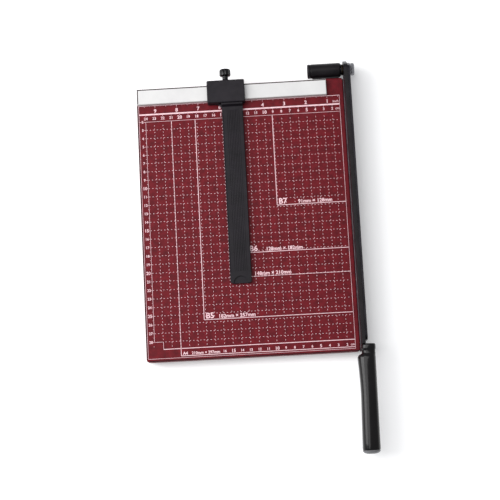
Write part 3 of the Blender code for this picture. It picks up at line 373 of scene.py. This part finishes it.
INK = 0.04 * MM                     # stands above the enamel
CM = 10 * MM
INCH = 25.4 * MM
FRAME_LEFT, FRAME_RIGHT = -248.0 * MM, -10.9 * MM
FRAME_FRONT = -299.0 * MM
STRIP_Y = -11.1 * MM                # between the inch row and the centimetre row
GRID_TOP, GRID_LEFT = -20.0 * MM, -240.2 * MM
GRID_BOTTOM = -288.5 * MM
NOTCH_REAR, NOTCH_RIGHT = -280.0 * MM, -230.0 * MM     # the grid's empty front left corner
LINE = 0.36 * MM
STRIP_WIDTH = 1.7 * MM
GRID_FRONT_LINE = 0.8 * MM
FORMAT_LINE = 0.7 * MM
MARK_LINE = 0.32 * MM
NUMBER_COLUMN = -244.1 * MM
INCH_ROW, CM_ROW, FRONT_ROW = -7.2 * MM, -16.2 * MM, -294.2 * MM
# Sheet formats: name, width, length, and how far right of its left line the sizes start
FORMATS = (("B7", 91, 128, 24.5), ("B6", 128, 182, 21.1), ("A5", 148, 210, 26.2),
           ("B5", 182, 257, 16.5), ("A4", 210, 297, 12.0))


def printed(bm, left, right, front, rear):
    """A printed bar on the bed, measured from the cutting edge and the paper stop."""
    slab(bm, CUT_X + left, CUT_X + right, STOP_Y + front, STOP_Y + rear,
         BED_Z - 0.01 * MM, BED_Z + INK)


def across(bm, y, left=FRAME_LEFT, right=FRAME_RIGHT, width=LINE):
    """A printed line from left to right."""
    printed(bm, left, right, y - width / 2, y + width / 2)


def along(bm, x, front=FRAME_FRONT, rear=0.0, width=LINE):
    """A printed line from front to rear."""
    printed(bm, x - width / 2, x + width / 2, front, rear)


def bed_lines():
    """Frame, strip between the number rows, grid border and format outlines."""
    bm = bmesh.new()
    across(bm, -0.5 * MM, width=0.6 * MM)
    across(bm, STRIP_Y, width=STRIP_WIDTH)
    across(bm, GRID_TOP)
    across(bm, FRAME_FRONT)
    across(bm, GRID_BOTTOM, left=NOTCH_RIGHT, width=GRID_FRONT_LINE)
    across(bm, NOTCH_REAR, left=GRID_LEFT, right=NOTCH_RIGHT)
    along(bm, NOTCH_RIGHT, front=GRID_BOTTOM, rear=NOTCH_REAR)
    along(bm, FRAME_LEFT)
    along(bm, FRAME_RIGHT)
    along(bm, GRID_LEFT, front=NOTCH_REAR, rear=GRID_TOP)
    for _, wide, long, _ in FORMATS:
        along(bm, -wide * MM, front=-long * MM, rear=GRID_TOP, width=FORMAT_LINE)
        across(bm, -long * MM, left=-wide * MM, width=FORMAT_LINE)
    piece("bed_frame_lines", bm, BED_PRINT, "base", smooth=False)


def bed_dashes():
    """Dashed centimetre lines, five dashes to two centimetres."""
    bm = bmesh.new()
    thin, step, dash = 0.44 * MM, 0.4 * CM, 1.3 * MM
    first_x, first_y = -15.0 * MM, -25.0 * MM
    last_row, last_column = 28, 23                      # these two stop at the notch
    for row in range(3, last_row + 1):
        for i in range(round((first_x - GRID_LEFT) / step) + 1):
            x = first_x - step * i
            if row < last_row or x > NOTCH_RIGHT:
                across(bm, -row * CM, x - dash / 2, x + dash / 2, thin)
    for column in range(2, last_column + 1):
        for i in range(round((first_y - GRID_BOTTOM) / step)):
            y = first_y - step * i
            if column < last_column or y > NOTCH_REAR:
                along(bm, -column * CM, y - dash / 2, y + dash / 2, thin)
    piece("bed_grid_dashes", bm, BED_PRINT, "base", smooth=False,
          outward=False)


def dark_edge_lines():
    """Painted shade: dark lines along the rule's rear and left edges and the bed's left and front
    edges, where the rims stand in shade.
    """
    inset, sunk = 0.5 * MM, 0.08 * MM
    rule_line, bed_line, corner = 1.1 * MM, 0.9 * MM, 3.0 * MM
    bm = bmesh.new()
    (left, _, _), (right, rear, top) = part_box("paper_stop_rule")
    rear_line = rear - inset - rule_line
    rule_faces = top - sunk, top + INK
    slab(bm, left + inset, right - inset, rear_line, rear - inset, *rule_faces)
    slab(bm, left + inset, left + inset + rule_line, STOP_Y + inset, rear_line, *rule_faces)
    bed_left, bed_front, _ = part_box("base_tray")[0]
    left, front = bed_left + inset, bed_front + inset
    bed_faces = BED_Z - sunk, BED_Z + INK
    slab(bm, left, left + bed_line, front + corner, STOP_Y - inset, *bed_faces)
    slab(bm, left + corner, CUT_X - corner, front, front + bed_line, *bed_faces)
    piece("dark_edge_lines", bm, PAINTED_SHADE_LINE, "base", smooth=False)


def bed_ticks():
    """Quarter-inch marks under the paper stop and half-centimetre marks beside the numbers."""
    bm = bmesh.new()
    for quarter in range(2, 39):
        x = -quarter * INCH / 4
        if x < FRAME_LEFT:
            break
        length = {0: 2.8, 2: 2.2}.get(quarter % 4, 1.5) * MM
        along(bm, x, front=-length, rear=-0.4 * MM, width=0.4 * MM)
    for half in range(4, 49):
        length = (2.4 if half % 2 == 0 else 1.4) * MM
        along(bm, -half * CM / 2, front=STRIP_Y - length, rear=STRIP_Y, width=MARK_LINE)
    for half in range(6, 58):
        length = (2.2 if half % 2 == 0 else 1.2) * MM
        across(bm, -half * CM / 2, left=GRID_LEFT - length, right=GRID_LEFT, width=MARK_LINE)
    piece("bed_scale_marks", bm, BED_PRINT, "base", smooth=False,
          outward=False)


def lettering(bm, words, height, x, y, bold=False, align="CENTER"):
    """Add printed characters to a bmesh, lying on the bed."""
    curve = bpy.data.curves.new("lettering", "FONT")
    curve.body = words
    curve.size = height / 0.7
    curve.align_x = align
    curve.align_y = "CENTER"
    curve.resolution_u = 2
    curve.offset = height * (0.034 if bold else 0.012)
    curve.extrude = INK / 2
    holder = bpy.data.objects.new("lettering", curve)
    bpy.context.scene.collection.objects.link(holder)
    bpy.context.view_layer.update()
    mesh = bpy.data.meshes.new_from_object(holder)
    bpy.data.objects.remove(holder)
    bpy.data.curves.remove(curve)
    mesh.transform(Matrix.Translation((CUT_X + x, STOP_Y + y, BED_Z + INK / 2)))
    bm.from_mesh(mesh)
    bpy.data.meshes.remove(mesh)


def bed_numbers():
    """Inch and centimetre numbers; each fifth centimetre is a larger one."""
    bm = bmesh.new()
    unit_x = -13.8 * MM
    for number in range(1, 10):
        lettering(bm, str(number), 4.3 * MM, -number * INCH, INCH_ROW, bold=True)
    lettering(bm, "inch", 3.0 * MM, -15.5 * MM, INCH_ROW - 0.4 * MM)
    for number in range(2, 25):
        height = (3.1 if number % 5 else 3.9) * MM
        lettering(bm, str(number), height, -number * CM, CM_ROW, bold=True)
    lettering(bm, "cm", 3.0 * MM, unit_x, CM_ROW)
    for number in range(2, 29):
        height = (3.0 if number % 5 or number == 5 else 3.6) * MM
        lettering(bm, str(number), height, NUMBER_COLUMN, -number * CM, bold=True)
    for number in range(2, 17):
        height = (2.9 if number % 5 else 3.6) * MM
        lettering(bm, str(number), height, -number * CM, FRONT_ROW, bold=True)
    lettering(bm, "cm", 2.9 * MM, unit_x, FRONT_ROW)
    piece("bed_scale_numbers", bm, BED_PRINT, "base", smooth=False,
          outward=False)


def format_names():
    """Each format's name and sizes, just behind the front line of its outline."""
    bm = bmesh.new()
    for name, wide, long, sizes_start in FORMATS:
        name_height, size_height = (3.4, 3.15) if name == "A4" else (6.4, 4.15)
        base = (1.0 - long) * MM
        lettering(bm, name, name_height * MM, (2.0 - wide) * MM, base + name_height * MM / 2,
                  bold=True, align="LEFT")
        lettering(bm, f"{wide}mm × {long}mm", size_height * MM, (sizes_start - wide) * MM,
                  base + size_height * MM / 2, bold=True, align="LEFT")
    piece("bed_format_names", bm, BED_PRINT, "base", smooth=False,
          outward=False)


# Arm and grip -------------------------------------------------------------------------------

ARM_TILT = Matrix.Rotation(math.radians(0.598), 4, "X")


def on_arm(x, y, z):
    """World place of a point measured from the pivot along the closed arm."""
    return PIVOT + ARM_TILT @ Vector((x, y, z))


GRIP_START = -326.0 * MM
GRIP_LENGTH = 118.6 * MM
GRIP_MIDDLE = 15.75 * MM
GRIP_POINTS = 64


def grip_section(distance, width, height, lift=0.0, aside=0.0, flare=0.0, power=2.6):
    """Rounded section of the grip; flare swells its left side."""
    shift = aside + 1.8 * MM - 2.7 * MM * distance / GRIP_LENGTH
    ring = []
    for i in range(GRIP_POINTS):
        turn = 2 * math.pi * i / GRIP_POINTS
        c, s = math.cos(turn), math.sin(turn)
        x = math.copysign(abs(c) ** (2 / power), c) * width / 2
        z = math.copysign(abs(s) ** (2 / power), s) * height / 2
        x -= flare * max(0.0, -c)
        ring.append(on_arm(shift + x, GRIP_START - distance, GRIP_MIDDLE + lift + z))
    return ring


def handle_grip():
    """Collar, slanting groove and a body that tapers in and swells again to the front."""
    bm = bmesh.new()
    collar = [
        (0.0, 12.8, 12.4), (0.25, 14.4, 14.0), (0.7, 15.5, 15.1), (1.3, 16.1, 15.7),
        (2.2, 16.4, 16.0), (5.2, 16.4, 16.0), (6.0, 16.2, 15.8), (6.6, 15.7, 15.4),
        (7.2, 15.4, 15.1), (8.2, 15.3, 14.9), (9.8, 15.3, 14.9), (10.8, 15.6, 15.2),
    ]
    rings = [grip_section(d * MM, w * MM, h * MM, MM, 1.1 * MM) for d, w, h in collar]
    root = [(11.6, 16.2, 16.4, 0.5, 0.8, 0.8), (12.4, 16.9, 18.2, 0.2, 0.4, 1.5),
            (13.6, 17.5, 19.8, 0.0, 0.1, 2.1), (15.2, 17.9, 20.6, 0.0, 0.0, 2.45),
            (17.5, 18.0, 21.0, 0.0, 0.0, 2.4)]
    rings += [grip_section(*[value * MM for value in station]) for station in root]
    body, full, steps = 17.5, 117.5, 16
    for i in range(1, steps + 1):
        share = i / steps
        distance = body + (full - body) * share
        flare = 2.4 * max(0.0, 1 - (distance - body) / 42.0) ** 1.5
        rings.append(grip_section(distance * MM, (18.0 + 2.2 * share) * MM,
                                  (21.0 + 2.0 * share) * MM, flare=flare * MM))
    rings.append(grip_section(118.2 * MM, 20.05 * MM, 22.85 * MM))
    rings.append(grip_section(GRIP_LENGTH, 19.5 * MM, 22.3 * MM))
    ringed(bm, rings)
    piece("handle_grip_moulded", bm, FINISHES["grip_plastic"], "arm", ["handle_grip"])


def handle_end_cap():
    """Domed plug, with a shallow dimple left by the mould in its middle."""
    bm = bmesh.new()
    start = GRIP_LENGTH + 0.3 * MM
    rings = [grip_section(start, 19.3 * MM, 22.1 * MM),
             grip_section(start + 0.25 * MM, 19.9 * MM, 22.7 * MM)]
    for step in range(1, 11):
        turn = math.radians(82 * step / 10)
        reach = (0.3 + 3.95 * math.sin(turn)) * MM
        narrow = 1 - math.cos(turn)
        rings.append(grip_section(start + reach, (20.0 - 14.5 * narrow) * MM,
                                  (22.8 - 16.0 * narrow) * MM, power=2.4))
    rings.append(grip_section(start + 4.2 * MM, 4.0 * MM, 4.4 * MM, power=2.0))
    rings.append(grip_section(start + 3.6 * MM, 3.2 * MM, 3.4 * MM, power=2.0))
    ringed(bm, rings)
    piece("handle_end_cap_domed", bm, FINISHES["grey_plastic"], "arm", ["handle_end_cap"])


def pivot_nut():
    """Hexagon nut with chamfered corners and a bore for the bolt."""
    low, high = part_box("pivot_nut")
    flats = 13.0 * MM
    bore = 3.95 * MM
    points = 48

    def hexagonal(x, limit):
        ring = []
        for i in range(points):
            turn = 2 * math.pi * i / points
            off = (turn + math.pi / 6) % (math.pi / 3) - math.pi / 6
            r = min(flats / 2 / math.cos(off), limit)
            ring.append(Vector((x, PIVOT.y + r * math.cos(turn), PIVOT.z + r * math.sin(turn))))
        return ring

    uncut = flats                       # past the corners, so it leaves them sharp
    rings = [
        hexagonal(low.x, bore), hexagonal(low.x, flats / 2 - 0.1 * MM),
        hexagonal(low.x + 0.7 * MM, uncut), hexagonal(high.x - 0.9 * MM, uncut),
        hexagonal(high.x - 0.35 * MM, flats / 2 + 0.35 * MM),
        hexagonal(high.x, flats / 2 - 0.3 * MM), hexagonal(high.x, bore + 0.5 * MM),
        hexagonal(high.x - 0.5 * MM, bore),
    ]
    bm = bmesh.new()
    ringed(bm, rings, ends=False)
    piece("pivot_nut_chamfered", bm, FINISHES["zinc_plate"], "arm", ["pivot_nut"])


def pivot_bolt():
    """Bolt with a domed, threaded end showing past the nut."""
    low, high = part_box("pivot_bolt")
    radius, head = 3.9 * MM, 5.5 * MM
    profile = [(0, 0), (0, head - 0.5 * MM), (0.5 * MM, head), (4.6 * MM, head),
               (5.0 * MM, head - 0.3 * MM), (5.0 * MM, radius)]
    length = high.x - low.x
    thread = length - 9.0 * MM
    while thread < length - 1.2 * MM:
        profile += [(thread, radius), (thread + 0.5 * MM, radius - 0.45 * MM),
                    (thread + 0.62 * MM, radius - 0.45 * MM)]
        thread += 1.12 * MM
    profile += [(length - 0.9 * MM, radius), (length - 0.3 * MM, radius - 0.7 * MM),
                (length, radius - 1.5 * MM), (length, 0)]
    bm = bmesh.new()
    lathe(bm, profile, "X", Vector((low.x, PIVOT.y, PIVOT.z)), 48)
    piece("pivot_bolt_threaded", bm, FINISHES["zinc_plate"], "arm", ["pivot_bolt"])


# Hinge housing ------------------------------------------------------------------------------

def hinge_housing():
    """Tube with a rounded right shoulder and a rolled groove, and the cap in its left end."""
    low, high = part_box("hinge_housing")
    length = high.x - low.x
    radius = (high.y - low.y) / 2
    bore, bolt_bore, shoulder = 6.0 * MM, 4.2 * MM, 3.0 * MM
    wall = length - 6.3 * MM
    profile = [(0, bore), (wall, bore), (wall, bolt_bore), (length, bolt_bore),
               (length, radius - shoulder)]
    for step in range(1, 9):
        turn = math.radians(90 * step / 8)
        profile.append((length - shoulder + shoulder * math.cos(turn),
                        radius - shoulder + shoulder * math.sin(turn)))
    groove = radius - 0.25 * MM
    profile += [(1.9 * MM, radius), (1.6 * MM, groove), (1.2 * MM, groove), (0.9 * MM, radius),
                (0.3 * MM, radius), (0, radius - 0.3 * MM), (0, bore)]
    bm = bmesh.new()
    lathe(bm, profile, "X", Vector((low.x, PIVOT.y, PIVOT.z)), 80)
    piece("hinge_housing_tube", bm, FINISHES["black_paint"], "base", ["hinge_housing"])
    low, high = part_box("housing_end_cap")
    length = high.x - low.x
    face = 2.6 * MM
    profile = [(0.35 * MM, 0), (0.35 * MM, 4.6 * MM), (0, 5.0 * MM), (0, radius - 1.2 * MM),
               (0.15 * MM, radius - 0.7 * MM), (0.5 * MM, radius - 0.2 * MM),
               (0.9 * MM, radius), (2.3 * MM, radius), (face, radius - 0.25 * MM),
               (face, 5.7 * MM), (length - 0.4 * MM, 5.7 * MM), (length, 5.3 * MM), (length, 0)]
    bm = bmesh.new()
    lathe(bm, profile, "X", Vector((low.x, PIVOT.y, PIVOT.z)), 80)
    piece("housing_end_cap_moulded", bm, FINISHES["black_plastic"], "base",
          ["housing_end_cap"])


# Side gauge ---------------------------------------------------------------------------------

def clamp_knob():
    """Fluted knob on a plain neck, with the stud's socket in its front end."""
    low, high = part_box("clamp_knob")
    flutes, points = 14, 112
    bore, neck_radius, grip_radius = 2.3 * MM, 3.4 * MM, 6.55 * MM

    def fluted(y, radius, depth=0.0):
        ring = []
        for i in range(points):
            turn = 2 * math.pi * i / points
            r = radius - depth * (1 - math.cos(turn * flutes)) / 2
            ring.append(Vector((KNOB_AXIS.x + r * math.cos(turn), y,
                                KNOB_AXIS.z + r * math.sin(turn))))
        return ring

    start, end = low.y, high.y
    neck = start + 4.2 * MM
    rings = [
        fluted(start + 4.7 * MM, bore), fluted(start, bore), fluted(start, 3.1 * MM),
        fluted(start + 0.3 * MM, neck_radius), fluted(neck - 0.5 * MM, neck_radius),
        fluted(neck, 3.9 * MM), fluted(neck, 5.3 * MM), fluted(neck + 0.3 * MM, 6.0 * MM, 0.1 * MM),
        fluted(neck + 0.9 * MM, grip_radius, 0.5 * MM),
        fluted(end - 1.3 * MM, grip_radius, 0.5 * MM),
        fluted(end - 0.5 * MM, 6.1 * MM, 0.2 * MM), fluted(end - 0.1 * MM, 5.3 * MM),
        fluted(end, 4.6 * MM), fluted(end - 0.3 * MM, 4.2 * MM), fluted(end - 0.35 * MM, 0.6 * MM),
    ]
    bm = bmesh.new()
    ringed(bm, rings)
    piece("clamp_knob_fluted", bm, FINISHES["grip_plastic"], "clamp_screw", ["clamp_knob"])


def gauge_arm_ribs():
    """Lengthwise ribs moulded along the top of the gauge arm."""
    low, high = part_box("gauge_arm")
    right = high.x
    left = right - 24.7 * MM
    top = BED_Z + 4.6 * MM
    front = low.y + 14.0 * MM
    rear = STOP_Y - 12.0 * MM
    bm = bmesh.new()
    ribs = [(0.2, 1.3, 0.35), (5.4, 6.2, 0.3)]
    ribs += [(7.4 + 1.9 * i, 8.4 + 1.9 * i, 0.3) for i in range(6)]
    ribs += [(19.2, 20.0, 0.3), (23.3, 24.5, 0.35)]
    for start, end, rise in ribs:
        verts = slab(bm, left + start * MM, left + end * MM, front, rear, top - 0.2 * MM,
                     top + rise * MM)
        edges = {edge for vert in verts for edge in vert.link_edges
                 if all(v.co.z > top for v in edge.verts)}
        bmesh.ops.bevel(bm, geom=list(edges), offset=0.25 * MM, segments=2, affect="EDGES",
                        profile=0.5, material=-1)
    piece("gauge_arm_ribs", bm, FINISHES["black_plastic"], "side_gauge")


# Feet and screws ----------------------------------------------------------------------------

def feet():
    """Push-in rubber feet, each with a neck where it sits in the tray's flange."""
    for number in range(1, 5):
        low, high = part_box(f"foot_{number}")
        centre = Vector(((low.x + high.x) / 2, (low.y + high.y) / 2, 0))
        profile = [(1.0 * MM, 0), (1.0 * MM, 3.0 * MM), (0.6 * MM, 3.4 * MM),
                   (0.0, 3.9 * MM), (0.0, 6.0 * MM), (0.25 * MM, 6.6 * MM),
                   (0.8 * MM, 6.95 * MM), (1.6 * MM, 7.0 * MM), (4.3 * MM, 6.6 * MM),
                   (4.8 * MM, 6.3 * MM), (4.81 * MM, 3.0 * MM), (6.8 * MM, 3.0 * MM),
                   (6.8 * MM, 3.9 * MM), (high.z, 2.4 * MM), (high.z, 0)]
        bm = bmesh.new()
        lathe(bm, profile, "Z", centre, 48)
        piece(f"foot_{number}_moulded", bm, FINISHES["rubber"], "base", [f"foot_{number}"])


def cross_recess(node_name, body, towards, half_length, depth):
    """The CAD screw with a cross drive sunk into its head."""
    low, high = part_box(node_name)
    bm = bmesh.new()
    bm.from_mesh(frame["nodes"][node_name].data)
    bmesh.ops.remove_doubles(bm, verts=bm.verts, dist=0.002 * MM)
    mesh = bpy.data.meshes.new(node_name)
    bm.to_mesh(mesh)
    bm.free()
    screw = bpy.data.objects.new(node_name + "_blank", mesh)
    axis = max(range(3), key=lambda i: abs(towards[i]))
    face = high[axis] if towards[axis] > 0 else low[axis]
    middle = (low + high) / 2
    bm = bmesh.new()
    for turned in (0, 1):
        size = [0.9 * MM] * 3
        size[axis] = 2 * depth
        size[(axis + 1 + turned) % 3] = 2 * half_length
        centre = Vector(middle)
        centre[axis] = face
        bmesh.ops.create_cube(bm, size=1, matrix=Matrix.Translation(centre)
                              @ Matrix.Diagonal((*size, 1)))
    cutter_mesh = bpy.data.meshes.new("cross_drive")
    bm.to_mesh(cutter_mesh)
    bm.free()
    cutter = bpy.data.objects.new("cross_drive", cutter_mesh)
    for item in (screw, cutter):
        bpy.context.scene.collection.objects.link(item)
    sink = screw.modifiers.new("cross_drive", "BOOLEAN")
    sink.operation = "DIFFERENCE"
    sink.solver = "EXACT"
    sink.use_self = True
    sink.object = cutter
    bpy.context.view_layer.update()
    shaped = bpy.data.meshes.new_from_object(
        screw.evaluated_get(bpy.context.evaluated_depsgraph_get()))
    bm = bmesh.new()
    bm.from_mesh(shaped)
    for item in (screw, cutter):
        bpy.data.objects.remove(item)
    for unused in (mesh, cutter_mesh, shaped):
        bpy.data.meshes.remove(unused)
    piece(node_name + "_cross_head", bm, FINISHES["zinc_plate"], body, [node_name],
          outward=False)


def screws():
    """Cross drives in every screw head, each on the side that faces out."""
    for number in range(1, 5):
        cross_recess(f"moving_blade_screw_{number}", "arm", (1, 0, 0), 2.0 * MM, 1.0 * MM)
        cross_recess(f"fixed_blade_screw_{number}", "base", (1, 0, 0), 2.0 * MM, 1.2 * MM)
    for number in range(1, 4):
        cross_recess(f"rule_screw_{number}", "base", (0, 0, -1), 1.5 * MM, 0.9 * MM)
    for number in (1, 2):
        cross_recess(f"bracket_screw_{number}", "base", (0, -1, 0), 1.8 * MM, 1.0 * MM)
        cross_recess(f"gauge_screw_{number}", "side_gauge", (0, 0, -1), 1.3 * MM, 0.8 * MM)


# Studio -------------------------------------------------------------------------------------

def floor():
    """Plain pale paper under the part."""
    bm = bmesh.new()
    bmesh.ops.create_grid(bm, x_segments=1, y_segments=1, size=6.0)
    mesh = bpy.data.meshes.new("studio_floor")
    bm.to_mesh(mesh)
    bm.free()
    material = bpy.data.materials.new("studio_paper")
    material.use_nodes = True
    tree = material.node_tree
    shader = tree.nodes["Principled BSDF"]
    shader.inputs["Roughness"].default_value = 0.9
    shader.inputs["Specular IOR Level"].default_value = 0.1
    paper = placed(tree, MOTTLED, Light=(0.93, 0.93, 0.935, 1), Dark=(0.92, 0.92, 0.925, 1),
                   Scale=3.0, Speckle=0.2)
    tree.links.new(paper.outputs["Color"], shader.inputs["Base Color"])
    shader.inputs["Emission Color"].default_value = (1, 1, 1, 1)
    shader.inputs["Emission Strength"].default_value = 0.16
    mesh.materials.append(material)
    made = bpy.data.objects.new("studio_floor", mesh)
    bpy.context.scene.collection.objects.link(made)


def soft_light(name, place, aim, size, power):
    lamp = bpy.data.lights.new(name, "AREA")
    lamp.shape = "RECTANGLE"
    lamp.size, lamp.size_y = size
    lamp.energy = power
    holder = bpy.data.objects.new(name, lamp)
    holder.location = place
    holder.rotation_mode = "QUATERNION"
    holder.rotation_quaternion = (Vector(aim) - Vector(place)).to_track_quat("-Z", "Y")
    bpy.context.scene.collection.objects.link(holder)


def studio():
    floor()
    soft_light("window_softbox", (-1.5, 0.25, 1.1), (0.0, 0.0, 0.0), (1.0, 1.6), 30)
    soft_light("overhead_softbox", (-0.7, 0.5, 2.4), (0.0, 0.0, 0.0), (1.8, 1.8), 30)
    world = bpy.data.worlds.new("studio_world")
    world.use_nodes = True
    backdrop = world.node_tree.nodes["Background"]
    backdrop.inputs["Color"].default_value = (0.97, 0.98, 1.0, 1)
    backdrop.inputs["Strength"].default_value = 0.5
    bpy.context.scene.world = world
    view = bpy.context.scene.view_settings
    view.view_transform = "Standard"
    view.look = "None"


CAMERA_PLACE = Vector((-99.2, -387.3, 1353.0)) * MM     # from the cutting edge and paper stop


def camera():
    """High above the bed's front edge and ahead of it, looking nearly straight down."""
    look = Vector((-0.0191, 0.1521, -0.9882)).normalized()
    right = look.cross(Vector((0.0555, 0.9870, 0.1508))).normalized()
    turn = Matrix((right, right.cross(look), -look)).transposed().to_4x4()
    lens = bpy.data.cameras.new("studio_camera")
    lens.lens = 85.2
    lens.sensor_width = 36.0
    holder = bpy.data.objects.new("studio_camera", lens)
    zero = Vector((CUT_X, STOP_Y, BED_Z))
    holder.matrix_world = Matrix.Translation(zero + CAMERA_PLACE) @ turn
    bpy.context.scene.collection.objects.link(holder)
    bpy.context.scene.camera = holder


camera()
studio()
bed_lines()
bed_dashes()
dark_edge_lines()
bed_ticks()
bed_numbers()
format_names()
handle_grip()
handle_end_cap()
pivot_nut()
pivot_bolt()
hinge_housing()
clamp_knob()
gauge_arm_ribs()
feet()
screws()
